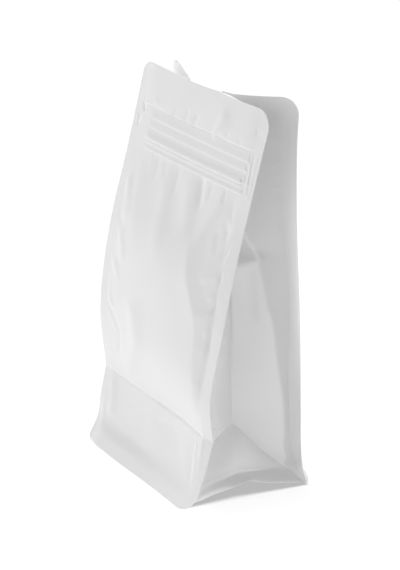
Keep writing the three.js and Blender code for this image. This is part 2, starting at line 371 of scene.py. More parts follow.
# %% Drapes under and over the zip
# Each fold: its two ends in millimetres across and up, its width and its height
DRAPES = [
    ((-45, 198), (-36, 152), 7.0, 0.6),
    ((-16.5, 201), (-4, 153), 7.0, 0.75),
    ((7, 204), (18, 174), 7.0, 0.95),
    ((19.5, 207), (23, 190), 2.8, -0.95),
    ((30.2, 207), (29.6, 197), 1.5, -0.5),
    ((43, 205), (31, 172), 4.8, 0.8),
    ((44, 207), (44.4, 199), 1.5, -0.45),
    ((27, 170), (33, 149), 6.0, 0.5),
    ((33, 149), (47, 125), 6.0, 0.4),
    ((-29, 207), (-28, 194), 1.8, -0.35),
    ((-20, 207), (-18, 197), 1.5, -0.3),
    ((-6, 207), (-4.5, 190), 2.2, -0.45),
    ((-37, 207), (-36, 198), 1.6, 0.3),
]
ABOVE_ZIP = [
    ((-21.8, 241), (-24.2, 234.5), 1.3, -0.55),
    ((-8.6, 242), (-11, 235), 1.4, -0.65),
    ((1.4, 242), (-2, 235), 1.5, -0.7),
    ((20.5, 234), (24, 240), 2.4, 0.8),
    ((25.5, 238), (28.5, 250), 4.5, 1.1),
    ((34, 240), (33, 236), 1.3, -0.4),
    ((46, 240), (45, 236.5), 1.3, -0.4),
    ((-46, 258), (-45.8, 240), 0.9, 0.14),
    ((-48, 240), (-40, 237), 1.6, 0.3),
]
print(f"{len(DRAPES)} drapes under the zip and {len(ABOVE_ZIP)} folds above it")

# %% Pillows and dimples beside the welds
PILLOW = [
    ((-22, 114), (-14, 90), 9.0, 1.5),
    ((-14, 90), (-38, 60), 9.0, 1.6),
    ((-60, 100), (-47, 95), 2.2, -0.5),
    ((-47, 95), (-40, 86), 2.4, -0.5),
    ((-40, 86), (-44, 69), 2.6, -0.6),
]
LEFT_PILLOWS = [
    ((-57, 190), (-48, 164), 4.4, 0.85),
    ((-51, 154), (-42, 137), 4.6, 0.85),
    ((-54, 133), (-45, 121), 4.2, 0.75),
    ((-58, 115), (-52, 100), 3.4, 0.6),
]
RIGHT_PILLOWS = [
    ((57.5, 156.5), (46, 151), 3.4, 0.7),
    ((58, 133.5), (49, 128), 3.2, 0.7),
    ((59, 111), (51.5, 105.5), 3.0, 0.65),
    ((57, 145), (53, 141.5), 2.2, 0.4),
    ((58, 122), (54, 118.5), 2.2, 0.4),
    ((56, 87), (50, 83.5), 3.0, 0.4),
]
# Dimples beside the right weld, all of one size: the place of the middle and the height of each
DIMPLE_LEAN = 1.5
DIMPLE_HALF = 5
DIMPLE_WIDTH = 2.4
DIMPLES = [
    ((x - DIMPLE_LEAN, h + DIMPLE_HALF), (x + DIMPLE_LEAN, h - DIMPLE_HALF), DIMPLE_WIDTH, height)
    for x, h, height in (
        (53.5, 197, -0.4), (53.5, 184, -0.45), (57, 173, -0.4), (48.5, 177, -0.22), (46, 170, 0.2))
]
print(f"{len(PILLOW + LEFT_PILLOWS)} folds by the left weld, {len(RIGHT_PILLOWS + DIMPLES)} by the right")

# %% Marks of the skirt, the crease and the fins
SKIRT_FOLDS = [
    ((-57, 46), (-52.5, 36), 4.2, 0.75),
    ((-52.5, 36), (-52, 21), 4.2, 0.7),
    ((0, 36.5), (22, 41.5), 3.2, -0.5),
    ((-5, 27), (28, 28), 6.0, 0.4),
    ((40, 42), (42, 26), 6.0, 0.4),
    ((52, 47), (58.5, 18), 1.1, 0.35),
    ((49, 36), (54, 18), 2.6, -0.4),
]
CREASE_MARK = [
    ((-4, CREASE - 0.3), (60, CREASE + 0.3), 0.9, -0.8),
    ((-62, CREASE - 0.4), (-8, CREASE - 0.4), 0.8, -0.3),
]
FREE_FOLDS = DRAPES + ABOVE_ZIP + PILLOW + LEFT_PILLOWS + RIGHT_PILLOWS + SKIRT_FOLDS + CREASE_MARK + DIMPLES
FIN_MARKS = [
    ((58.8, 51), (61.8, 28), 0.9, 0.22),
    ((-63, 30), (-60, 12), 2.6, 0.4),
    ((-58.6, 234.5), (-57, 230), 1.0, -0.9),
    ((-59.8, 225), (-61, 219.8), 1.0, -0.9),
    ((-60.5, 238), (-60, 235), 0.9, 0.3),
    ((-64.5, 227), (-63.8, 222.5), 0.9, 0.3),
    ((58.8, 248.5), (59.4, 244.5), 0.9, -0.35),
    ((59.6, 178), (58.8, 170), 0.9, -0.4),
    ((59.2, 159), (58.4, 152), 0.9, -0.4),
    ((59.2, 141), (58.2, 135), 0.9, -0.35),
    ((59.0, 119), (58.2, 113), 0.9, -0.3),
    ((63.6, 252), (63.9, 247), 0.8, 0.2),
]
print(f"{len(FREE_FOLDS)} folds in the free film and {len(FIN_MARKS)} marks on the fins")

# %% Shoulder, header and band of the front panel
SHOULDER_LINE = [
    (CREASE, 51), (80, 51), (96, 48), (109, 47.5), (125, 46), (136, 41), (149, 33.5), (164, 28), (180, 22),
    (HEIGHT, 20),
]
SHOULDER_OUT = [
    (0, 0), (56, 0), (80, 1.5), (110, 2.6), (135, 3.6), (150, 4), (164, 3), (178, 0.8), (190, 0), (HEIGHT, 0),
]
SHOULDER_FADE = (-WELD, 80 - WELD)
HEADER_LOW = 234.4
HEADER_TOP = 243.0
HEADER_OUT = 0.45
HEADER_EDGE = 0.5
HEADER_STEP = 1.2
HEADER_ENDS = (WELD + 6, WELD - 8)
BAND_TOP = 9.0
BAND_STEP = 0.25
BAND_STEP_LEFT = 2.0
BAND_SIDES = (-35, 25)
BAND_FADE = (BAND_TOP + 7, BAND_TOP - 2)
BAND_ENDS = (WELD + FIN, WELD - 8)
FREE_FADE = (WELD + 1, WELD - 4)
# Puckers along a weld: the side, the seed of the draw, the lowest, the highest, and the depth
FRONT_PUCKERS = [(-1, 11, 78, 205, 0.25), (1, 5, 160, 205, 0.4)]


def free_film(x):
    """One on the free film, nothing on the fins."""
    return between(np.abs(x), *FREE_FADE)


def shoulder(x, h):
    """The flat middle of the panel: it ends at a sharp shoulder on the right, from where it falls straight to
    the weld, and fades slowly towards the left."""
    fall = np.clip((WELD - x) / (WELD - through(SHOULDER_LINE, h)), 0, 1)
    return through(SHOULDER_OUT, h) * fall * between(x, *SHOULDER_FADE)


def header(x, h):
    """The film above the zip: it steps out over the zip's upper edge, comes out further along a parabola that
    is flat at its top, and fades at both welds."""
    rising = HEADER_OUT * (1 - np.clip((HEADER_TOP - h) / (HEADER_TOP - HEADER_LOW), 0, 1) ** 2)
    stepped = HEADER_EDGE * between(h, HEADER_LOW, HEADER_LOW + HEADER_STEP)
    return (rising + stepped) * between(np.abs(x), *HEADER_ENDS)


def band(x, h):
    """The step out over the welded band at the floor, most on the left."""
    step = mix(BAND_STEP_LEFT, BAND_STEP, between(x, *BAND_SIDES)) * between(h, *BAND_FADE)
    return step * between(np.abs(x), *BAND_ENDS)


def front_relief(x, h):
    """Everything that stands out of the smooth front panel: its folds, its shoulder and the puckers along
    both welds, which fade to nothing at the welds, the marks on the fins, the header and the band."""
    loose = folds(x, h, FREE_FOLDS) + shoulder(x, h) + sum(puckers(x, h, *one) for one in FRONT_PUCKERS)
    return loose * free_film(x) + folds(x, h, FIN_MARKS) + header(x, h) + band(x, h)


xs, hs = np.meshgrid(np.linspace(-WELD, WELD, 80), np.linspace(0, HEIGHT, 160), indexing="ij")
print(f"front relief from {front_relief(xs, hs).min():.2f} to {front_relief(xs, hs).max():.2f} mm")

# %% [markdown]
# ## From a face to a piece of film
#
# A face is only a surface; film has a cut edge that catches the light. The Solidify modifier could thicken
# it, but then the smooth shading would run round the thin rim, so the second face, moved inwards along the
# normals, and the rim between the two are made here as well, and the rim's edges are marked sharp.

# %% The second face of a film
FILM = 0.3
LEAST_LENGTH = 1e-9


def unit(vectors):
    """Vectors made one long."""
    return vectors / np.maximum(np.linalg.norm(vectors, axis=-1, keepdims=True), LEAST_LENGTH)


def outward(face):
    """Normals of a grid of points: the slope along the columns crossed with the slope along the rows."""
    return unit(np.cross(np.gradient(face, axis=0), np.gradient(face, axis=1)))


def film_back(face):
    """The second face of a film: the first moved inwards by the film's thickness, but never under the
    floor."""
    inner = face - FILM * outward(face)
    inner[..., 2] = np.maximum(inner[..., 2], 0)
    return inner


print(f"film {FILM} mm thick")

# %% Closed film from two grids of points
SHARP = math.radians(32)


def closed_mesh(name, outer, inner):
    """A closed mesh of two grids of points: the outer one's cells, the inner one's turned round, and a band
    of cells along the rim that joins them."""
    columns, rows = outer.shape[:2]
    index = np.arange(columns * rows).reshape(columns, rows)
    cells = [index[:-1, :-1], index[1:, :-1], index[1:, 1:], index[:-1, 1:]]
    front = np.stack(cells, -1).reshape(-1, 4)
    back = front[:, ::-1] + index.size
    rim = np.concatenate([index[:-1, 0], index[-1, :-1], index[:0:-1, -1], index[0, :0:-1]])
    ahead = np.roll(rim, -1)
    joined = np.stack([ahead, rim, rim + index.size, ahead + index.size], -1)
    mesh = bpy.data.meshes.new(name)
    places = np.concatenate([outer.reshape(-1, 3), inner.reshape(-1, 3)]) * MM
    mesh.from_pydata(places, [], np.concatenate([front, back, joined]).tolist())
    mesh.shade_smooth()
    mesh.set_sharp_from_angle(angle=SHARP)
    return mesh


def keep_value(mesh, name, outer, inner):
    """Keep one number for each point of the outer and the inner grid in the mesh, for a material to read."""
    stored = mesh.attributes.new(name, "FLOAT", "POINT")
    both = [np.broadcast_to(values, outer.shape).ravel() for values in (outer, inner)]
    stored.data.foreach_set("value", np.concatenate(both).astype(np.float32))


def film_piece(name, outer, inner, weld, light=None, node="pouch"):
    """A piece of film from two grids of points, which rides on the one body and stands for a node. Its mesh
    keeps where it is welded and, for the outer and the inner face, how much light comes through, together
    with the painted highlights along the mouth's edge, the sill and the rim."""
    mesh = closed_mesh(name, outer, inner)
    keep_value(mesh, "weld", weld, weld)
    if light:
        keep_value(mesh, "through", *light)
    piece = bpy.data.objects.new(name, mesh)
    bpy.context.scene.collection.objects.link(piece)
    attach(piece, "root")
    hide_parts(node)
    print(f"{name}: {len(mesh.vertices)} points, {2 * len(mesh.polygons)} triangles")
    return piece


print(f"edges sharper than {math.degrees(SHARP):.0f} degrees stay sharp")

# %% [markdown]
# ## Where the grid lines go
#
# A regular grid wastes points on flat film and starves the folds. The rows crowd together in the round
# corners and along the zip's lower edge, and lie exactly on the crease; the columns lie exactly on the welds
# and are closer near them.

# %% Rows and columns of a panel
FIN_COLUMNS = 11
FREE_COLUMNS = 108
CROWDING = 0.5
FLOOR_ROUND = EDGES["front_right"]["floor_round"]
MOUTH_ROUND = EDGES["front_right"]["mouth_round"]
# Bands of even rows: where each starts and ends, and how many rows it has
ROW_BANDS = [
    (FLOOR_ROUND, CREASE - 4, 32), (CREASE - 4, CREASE + 4, 17), (CREASE + 4, 196, 114), (196, 212, 30),
    (212, 233, 33), (233, 237, 14), (237, HEIGHT - MOUTH_ROUND, 20),
]
quarter = np.linspace(0, math.pi / 2, 22)
ROWS = np.unique(np.concatenate([
    FLOOR_ROUND * (1 - np.cos(quarter)),
    *(np.linspace(*one) for one in ROW_BANDS),
    HEIGHT - MOUTH_ROUND + MOUTH_ROUND * np.sin(quarter),
]))
WELD_SOFT = 0.6
BAND_SOFT = 0.8


def panel_columns(left, right, h):
    """Distances across a panel, one column for each: even steps over each fin, and steps over the free film
    that shorten towards the welds by a sine."""
    first, last = -edge_reach(EDGES[left], h), edge_reach(EDGES[right], h)
    even = np.linspace(-1, 1, FREE_COLUMNS + 1)[:, None]
    crowded = (1 - CROWDING) * even + CROWDING * np.sin(even * math.pi / 2)
    free = mix(first + FIN, last - FIN, (crowded + 1) / 2)
    fin = np.linspace(0, 1, FIN_COLUMNS, endpoint=False)[:, None]
    return np.concatenate([first + FIN * fin, free, (last - FIN * fin)[::-1]])


def low_band(h, top):
    """One on the band along the floor up to its top, nothing above it."""
    return between(h, top + BAND_SOFT, top - BAND_SOFT)


def weld_mask(x, h, reach):
    """One on the welded fin and on the band along the floor, nothing on the free film."""
    fin = between(np.abs(x) - (reach - FIN), -WELD_SOFT, WELD_SOFT)
    return np.maximum(fin, low_band(h, BAND_TOP))


print(f"{len(ROWS)} rows and {FREE_COLUMNS + 2 * FIN_COLUMNS + 1} columns to a panel")

# %% [markdown]
# ## Light that comes through
#
# White film is not opaque: a panel that is lit on one side glows faintly on the other, and a narrow fold
# between two lit panels is never black. Subsurface scattering in film this thin needs very many samples, so
# each point keeps a number instead, how much light comes through to it, and the finish shines by it. On the
# front panel only the cut edge of the mouth shines, at the top of its crest, as a painted highlight.

# %% Front panel
INSIDE_MOUTH = 1.2
INSIDE_HEIGHTS = (238, 253)
EDGE_HIGHLIGHT = 5.0
# A painted highlight along the cut edge of the mouth
EDGE_HEIGHTS = (259.3, 259.8)
EDGE_PLACE = 27.5
EDGE_HALF = 7.0


def inside_light(h):
    """Light that comes through to the inside of the film: some everywhere, most at the open mouth."""
    return 1 + INSIDE_MOUTH * between(h, *INSIDE_HEIGHTS)


x = panel_columns("front_left", "front_right", ROWS)
h = np.broadcast_to(ROWS, x.shape)
front = front_face(x, h)
front[..., 1] -= front_relief(x, h)
weld = weld_mask(x, h, edge_reach(EDGES["front_left"], h))
# Painted highlight on the cut edge of the mouth, on both faces
edge_highlight = EDGE_HIGHLIGHT * between(h, *EDGE_HEIGHTS) * bell(x, EDGE_PLACE, EDGE_HALF)
light = (edge_highlight, inside_light(h) + edge_highlight)
front_panel = film_piece("front_panel", front, film_back(front), weld, light)

# %% [markdown]
# ## The back panel
#
# The back panel is the same sheet again, with its own gentler folds: nothing stiffens it, so it only shows
# puckers along its welds, the crease, and the two long bends where its middle is pressed onto the front.
# Its columns run from right to left, which turns its faces outwards.

# %% Back panel
BACK_FOLDS = [
    ((-20, 250), (-34, 150), 6.0, 0.5),
    ((20, 250), (33, 155), 6.0, 0.5),
    ((0, 190), (3, 110), 9.0, 0.7),
    ((-36, 100), (-30, 60), 8.0, 0.8),
    ((38, 92), (30, 58), 7.0, 0.7),
    ((-10, 34), (26, 28), 7.0, 0.5),
    ((-58, CREASE), (58, CREASE), 0.9, -0.3),
]
BACK_PUCKERS = [(-1, 23, 74, 200, 0.7), (1, 31, 78, 190, 0.7)]
BACK_BAND_FADE = (BAND_TOP + 1.6, BAND_TOP - 1.6)
BACK_BAND_ENDS = (WELD + 3, WELD - 1)
BACK_CALM = 0.7
BACK_CALM_HEIGHTS = (200, 240)
HEEL_LIGHT = 2.0
HEEL_ACROSS = (59, 63)
HEEL_HEIGHTS = (19, 13)


def back_relief(x, h):
    """Folds of the back panel, puckers along its welds and the step over the welded band at the floor, all
    of it calmer near the mouth."""
    loose = folds(x, h, BACK_FOLDS) + sum(puckers(x, h, *one) for one in BACK_PUCKERS)
    step = BAND_STEP * between(h, *BACK_BAND_FADE) * between(np.abs(x), *BACK_BAND_ENDS)
    return (loose * free_film(x) + step) * (1 - BACK_CALM * between(h, *BACK_CALM_HEIGHTS))


x = panel_columns("back_left", "back_right", ROWS)[::-1]
h = np.broadcast_to(ROWS, x.shape)
back = back_face(x, h)
back[..., 1] += back_relief(x, h)
weld = weld_mask(x, h, edge_reach(EDGES["back_left"], h))
heel = HEEL_LIGHT * between(x, *HEEL_ACROSS) * between(h, *HEEL_HEIGHTS)
back_panel = film_piece("back_panel", back, film_back(back), weld, (0 * h, inside_light(h) + heel))

# %% [markdown]
# ## The folded sides
#
# Each side is one sheet from fin to fin, folded inwards down its middle. Near the floor the fold splits into
# two diagonals, and the triangle between them comes forward to the weld of the bottom: that is what gives
# this kind of pouch its box shape. The sheet is made as seven upright lines with straight film between them,
# so every fold is a line of the grid and stays sharp.

# %% Lines of a folded side
APEX = 43.0
SILL = 7.0
FIN_FILM = 0.62
WELD_ROOT = 0.75
FOLD_LINE = [(APEX, 39.6), (75, 40), (102, 37.7), (130, 34), (170, 29.5), (215, 25.5), (HEIGHT, 17.5)]
FOLD_OUT = 0.8
FOLD_ALONG = 1.2
RIM_OUT = 64.0
TRIANGLE = [(SILL, 57), (20, 54), (32, 48.8), (APEX, 39.6)]
HEEL_TRIM = [(0, 0.6), (4, 4.6), (11, 1.0), (15, 0), (HEIGHT, 0)]
BACK_FLARE = 6.5
FRONT_REACH = 0.95
BACK_REACH = 0.81
HEEL_REACH = 0.96
DIAGONAL_BOW = 6.0


def side_edges(side):
    """The front and back edge of the left (-1) or right (+1) side."""
    return ("front_right", "back_right") if side > 0 else ("front_left", "back_left")


def side_lines(side, h):
    """Seven lines of a side, one point of each at every height: the front fin's tip and weld, the front
    half's end, the middle, the back half's end, the back fin's weld and tip. Above the apex the three in the
    middle lie together on the fold; below it they part, the outer two towards the welds, and the middle one
    down the triangle to the sill and out along the weld of the bottom to the rim. At the back that weld
    flares out and runs straight on to the heel, where the right fin is trimmed."""
    front_edge, back_edge = (EDGES[name] for name in side_edges(side))
    front_reach, back_reach = edge_reach(front_edge, h), edge_reach(back_edge, h)
    trimmed = back_reach - through(HEEL_TRIM, h) * (side > 0)
    under_sill = between(h, SILL, 0)
    front_tip = front_face(side * front_reach, h) + [0, FIN_FILM, 0]
    back_tip = back_face(side * trimmed, h) - [0, FIN_FILM, 0]
    front_weld = front_face(side * np.minimum(WELD, front_reach - WELD_ROOT), h) + [0, WELD_ROOT, 0]
    flared = np.minimum(WELD + BACK_FLARE * under_sill, trimmed - WELD_ROOT)
    back_weld = back_face(side * flared, h) - [0, WELD_ROOT, 0]
    split = np.clip((APEX - h) / (APEX - SILL), 0, 1)
    reach = through(FOLD_LINE, np.maximum(h, APEX))
    place = (front_face(side * reach, h) + back_face(side * reach / narrowed(h), h))[..., 1] / 2
    fold_x = side * (reach + FOLD_OUT)
    front_end = mix(points(fold_x, place - FOLD_ALONG, h), front_weld, FRONT_REACH * split[:, None])
    back_share = split * mix(BACK_REACH, HEEL_REACH, under_sill)
    back_end = mix(points(fold_x, place + FOLD_ALONG, h), back_weld, back_share[:, None])
    front_end[:, 0] -= side * DIAGONAL_BOW * np.sin(math.pi * split)
    strip = mix(RIM_OUT, TRIANGLE[0][1], h / SILL)
    triangle = np.where(h < SILL, strip, through(TRIANGLE, h))
    middle_x = side * np.where(h < APEX, triangle, reach)
    middle = points(middle_x, (front_end[:, 1] + back_end[:, 1]) / 2, h)
    return [front_tip, front_weld, front_end, middle, back_end, back_weld, back_tip]


right_lines = side_lines(1, ROWS)
print("right side's fold at", np.round(right_lines[3][[0, len(ROWS) // 2, -1]], 1).tolist())

# %% [markdown]
# ## Bends in a folded side
#
# The back half of a side is not flat either: a long bend climbs from the foot of its weld, leaves the weld
# further and further behind, and ends in a point half way up, where the film has buckled. Above it the film
# bows out gently. Each bend is its own small formula of the way across and the height, so that one can be
# changed without the others.

# %% Bends of the back half
# At each height, how far across the back half the long bend lies, and how far it and the bow stand out
BEND = [
    (0, 0.03), (8, 0.1), (14, 0.6), (25, 0.78), (37, 0.89), (57, 0.89), (72, 0.85), (92, 0.78), (113, 0.71),
    (126, 0.62), (150, 0.53),
]
BEND_OUT = [(0, 0), (16, 0.4), (APEX, 1.2), (75, 2.2), (110, 3), (140, 3), (154, 2.2), (163, 0), (HEIGHT, 0)]
BEND_SOFT = 0.05
UPPER_BOW = [(0, 0), (150, 0), (172, 2.4), (200, 3), (235, 2), (252, 0.4), (HEIGHT, 0.2)]
BUCKLE_POINT = (20, 155)
BUCKLE_RISE = 10.0
BUCKLE_FALL = 7.0
BUCKLE_OUT = 3.4
BUCKLE_FADE = 25.0
BUCKLE_LEAST = 0.1


def long_bend(t, h):
    """The bend of the back half: a ridge whose two sides are straight and whose crest is slightly round."""
    crest = through(BEND, h)
    tent = np.minimum(t / crest, (1 - t) / (1 - crest))
    rounded = tent - BEND_SOFT * np.exp(-(1 - tent) / BEND_SOFT)
    return through(BEND_OUT, h) * np.maximum(rounded, 0)


def upper_bow(t, h):
    """The bow of the back half above the long bend: a parabola across it, none at the fold and the weld."""
    return through(UPPER_BOW, h) * 4 * t * (1 - t)


def buckle_width(s):
    """Width of the buckled facet at a distance from the fold: one there, falling evenly to its point."""
    return np.clip(1 - s / BUCKLE_POINT[0], 0, 1)


def buckle_foot(s):
    """Height of the facet's foot at a distance from the fold."""
    return BUCKLE_POINT[1] - BUCKLE_FALL * buckle_width(s)


def buckle(s, h):
    """The buckled facet at the long bend's point, from the distance to the fold: above its foot it leans back
    in a slope that flattens at both ends, below it fades, and it narrows to nothing at the point."""
    top, foot = BUCKLE_POINT[1] + BUCKLE_RISE * buckle_width(s), buckle_foot(s)
    slope = eased((top - h) / np.maximum(top - foot, BUCKLE_LEAST))
    return BUCKLE_OUT * buckle_width(s) * slope * np.exp(-np.maximum(foot - h, 0) / BUCKLE_FADE)


print(f"the long bend ends {BEND[-1][0]} mm up, in a buckle {BUCKLE_OUT} mm high")

# %% [markdown]
# ## The foot of a side
#
# Seen from the side, the weld of the bottom and the sill above it are two arches, rounder in front of their
# peak than behind it. A lattice could bend the foot up; here each arch is a curve that lifts the film by how
# far it is from front to back.

# %% Arches of the foot
# Height of each arch at shares of the way from front to back, up to its peak and behind it
RIM_FRONT = [(0, 0), (0.14, 2.5), (0.25, 6.7), (0.38, 9.8), (0.53, 13.1)]
RIM_BACK = [(0.53, 13.1), (0.6, 10.6), (0.69, 8.3), (0.82, 4.8), (0.9, 2.4), (0.96, 0.6), (1, 0)]
SILL_FRONT = [(0, 0), (0.15, 8.6), (0.3, 10.6), (0.45, 12.3)]
SILL_BACK = [(0.45, 12.3), (0.53, 10.4), (0.62, 8.6), (0.74, 5.6), (0.9, 3), (1, 0)]
LIP = 0.35
LIP_ENDS = 0.1


def arched(front, back, f):
    """Height of an arch at a share of the way from front to back: one curve up to its peak and one behind."""
    return np.where(f < front[-1][0], through(front, f), through(back, f))


def foot_lift(f, h):
    """Lift of a side's foot at a share of the way from front to back: from the rim's arch to the sill's as
    the height goes from the floor to the sill, fading evenly up to the apex, less a small lip at the rim."""
    arch = mix(arched(RIM_FRONT, RIM_BACK, f), arched(SILL_FRONT, SILL_BACK, f), np.clip(h / SILL, 0, 1))
    lip = LIP * between(h, LIP, 0) * between(np.minimum(f, 1 - f), 0, LIP_ENDS)
    return np.maximum(0, 1 - h / APEX) * arch - lip


print(f"the rim rises {RIM_FRONT[-1][1]} mm off the floor")

# %% [markdown]
# ## A side's film
#
# Between its lines a side is straight film, moved out of its plane by what is on it: two folds near the front
# weld, the bends and the faint prints of the zip's ribs in the back half, and a bead along the sill, where
# the weld of the bottom was pressed. One array for each span keeps them apart until the spans are joined.

# %% Relief of the six spans
SIDE_COLUMNS = [10, 40, 14, 14, 60, 10]
FRONT_HALF_FOLDS = [
    ((5, 95), (19, 48), 6.0, 1.9),
    ((8.5, 53), (21, 48), 0.9, -0.5),
]
FRONT_HALF_MARGIN = 0.1
BACK_HALF_FOLDS = [
    ((20.2, 155.5), (11, 176), 1.5, 0.9),
    ((14, 150), (15, 118), 4.0, -0.6),
    ((37, 191), (30, 192.5), 2.4, 0.25),
    ((37.6, 190), (38.8, 168), 1.8, -0.8),
]
BACK_HALF_MARGIN = 0.05
PRINTS = [196 + 7.5 * k for k in range(7)]
PRINT_HIGH = 0.14
PRINT_HALF = 1.0
PRINT_START = (0.75, 0.9)
PRINT_END = (1, 0.97)
BEAD_HIGH = 0.45
BEAD_PLACE = SILL + 0.5
BEAD_HALF = 0.7
BEAD_START = (0, 0.1)
BEAD_END = (0.75, 0.15)


def side_steps():
    """Shares of the way across each of the six spans, one for each of its columns."""
    return [np.linspace(0, 1, n, endpoint=False)[:, None] for n in SIDE_COLUMNS]


def straight_length(start, end):
    """Length of the straight film between two lines at every height, seen from above."""
    return np.linalg.norm((end - start)[:, :2], axis=1)


def inner_part(t, margin):
    """One in the inner part of a span, falling to nothing over a margin at both of its ends."""
    return between(t, 0, margin) * between(t, 1, 1 - margin)


def back_half_relief(t, s, h):
    """Folds and bends of the back half and the prints of the zip, from the way across it and the distance to
    the fold."""
    prints = sum(PRINT_HIGH * bell(h, place, PRINT_HALF) for place in PRINTS)
    prints = prints * between(t, *PRINT_START) * between(t, *PRINT_END)
    bends = long_bend(t, h) + upper_bow(t, h) + buckle(s, h)
    return folds(s, h, BACK_HALF_FOLDS) * inner_part(t, BACK_HALF_MARGIN) + prints + bends


def side_relief(side, lines, h):
    """How far each of the six spans stands out of its plane: the fins not at all, the two halves by their
    folds and bends, and the two parts of the triangle by a bead along the sill and a parabola that rounds
    them, as high as the middle line stands out between its neighbours."""
    front_fin, front_half, before, behind, back_half, back_fin = side_steps()
    front_s = front_half * straight_length(lines[1], lines[2])
    back_s = back_half * straight_length(lines[4], lines[5])
    bead = BEAD_HIGH * bell(h, BEAD_PLACE, BEAD_HALF)
    bulge = side * (lines[3] - (lines[2] + lines[4]) / 2)[:, 0] * (h < APEX)
    return [
        0 * front_fin * h,
        folds(front_s, h, FRONT_HALF_FOLDS) * inner_part(front_half, FRONT_HALF_MARGIN),
        bead * between(before, *BEAD_START) + bulge * before * (1 - before),
        bead * between(behind, *BEAD_END) + bulge * behind * (1 - behind),
        back_half_relief(back_half, back_s, h),
        0 * back_fin * h,
    ]


highest = [round(float(moved.max()), 1) for moved in side_relief(1, right_lines, ROWS)]
print("right side's spans stand out by at most", highest)

# %% Film between the lines of a side
MOUTH_RISE = 1.2
MOUTH_RISE_START = 215.0
MOUTH_RISE_POWER = 4
MOUTH_DROP = 0.3
MOUTH_DROP_START = HEIGHT - 10
MOUTH_DROP_ENDS = 0.04


def bent(side, start, end, t, h, moved):
    """A span of film from one line to another, moved out of its plane by some millimetres at each point."""
    run = unit((end - start) * [1, 1, 0])
    out = side * points(run[:, 1], -run[:, 0], 0 * h)
    return mix(start, end, t[..., None]) + out * moved[..., None]


def near_fold():
    """One in the triangle and at the fold, falling to nothing at both welds, steeply in the front half."""
    front_fin, front_half, before, behind, back_half, back_fin = side_steps()
    shares = [0 * front_fin, front_half ** MOUTH_RISE_POWER, 1 + 0 * before, 1 + 0 * behind, 1 - back_half]
    return np.concatenate(shares + [0 * back_fin, [[0]]])


def side_face(side, h):
    """A side's film: straight between its seven lines and moved out by its relief, kept between the two broad
    panels, lifted at the floor over the arch of the bottom, lowered a little inside the mouth, and on the
    right raised a little at the fold's upper end."""
    lines = side_lines(side, h)
    spans = zip(lines[:-1], lines[1:], side_steps(), side_relief(side, lines, h))
    face = np.concatenate([bent(side, a, b, t, h, moved) for a, b, t, moved in spans] + [lines[-1][None]])
    face[..., 1] = np.maximum(face[..., 1], front_face(face[..., 0], h)[..., 1] + FIN_FILM)
    face[..., 1] = np.minimum(face[..., 1], back_face(face[..., 0] / narrowed(h), h)[..., 1] - FIN_FILM)
    front_tip, back_tip = lines[0], lines[-1]
    f = np.clip((face[..., 1] - front_tip[:, 1]) / (back_tip[:, 1] - front_tip[:, 1]), 0, 1)
    drop = MOUTH_DROP * between(h, MOUTH_DROP_START, HEIGHT)
    drop = drop * between(np.minimum(f, 1 - f), 0, MOUTH_DROP_ENDS)
    rise = MOUTH_RISE * (side > 0) * between(h, MOUTH_RISE_START, HEIGHT) * near_fold()
    level = mix(front_tip[:, 2], back_tip[:, 2], f)
    face[..., 2] = np.maximum(level + foot_lift(f, h) + rise - drop, 0)
    return face


right = side_face(1, ROWS)
print("right side's film reaches", np.round(right.reshape(-1, 3).max(0), 1).tolist())

# %% [markdown]
# ## Light in a folded side
#
# The right side looks away from the main light, so much of its own comes through it from behind: the free
# plane of the back half glows, and so does the triangle at the foot, while double film stays dull. A ray that
# crosses many thin sheets is dear to follow, so each place where light comes through has a value here, with
# the heights, or the shares of the way across its span, between which it grows. The thin bright lines along
# the sill and the rim are painted highlights, kept in the same values.

# %% Places where light comes through a side
FAINT_LIGHT = 0.1
PLANE_SOFT = 0.05
PLANE_FOOT = 4.0
LIGHT_STREAKS = [
    ((20, 156), (11.5, 175), 1.4, 0.8),
    ((13.5, 149), (14.5, 112), 3.0, -0.3),
]
FIN_LIGHT = [
    (0, 0), (58, 0), (90, 0.7), (120, 1.7), (150, 1.8), (185, 1.2), (215, 0.5), (240, 0), (HEIGHT, 0),
]
FIN_LIGHT_POWER = 1.4
MOUTH_LIGHT = 2.0
MOUTH_HEIGHTS = (225, HEIGHT)
SPIKE_LIGHT = 1.75
SPIKE_HEIGHTS = (236, 248)
VALLEY_LIGHT = 0.9
VALLEY_HEIGHTS = (14, 8)
VALLEY_START = (0.9, 1)
PIT_LIGHT = 0.65
PIT_HEIGHTS = (0, 5)
PIT_START = (0.5, 1)
FOOT_LIGHT = 1.2
FOOT_HEIGHTS = (9, 4)
FOOT_START = (0, 0.3)
TRIANGLE_FRONT = 1.5
TRIANGLE_BACK = (1.3, 1.0)
TRIANGLE_HEIGHTS = (APEX + 2, APEX - 1)
STRIP_BACK = 0.5
STRIP_FRONT = 0.45
STRIP_HEIGHTS = (SILL, SILL + 3)
# A painted highlight: a thin bright line along the sill
SILL_HIGHLIGHT = 1.8
SILL_PLACE = SILL + 0.4
SILL_HALF = 0.8
SILL_END = (0.7, 0.2)
# A painted highlight: a thin bright line along the rim
RIM_HIGHLIGHT = 0.3
RIM_HEIGHTS = (0.9, 0.4)
print(f"most light through the back fin: {max(value for height, value in FIN_LIGHT)}")

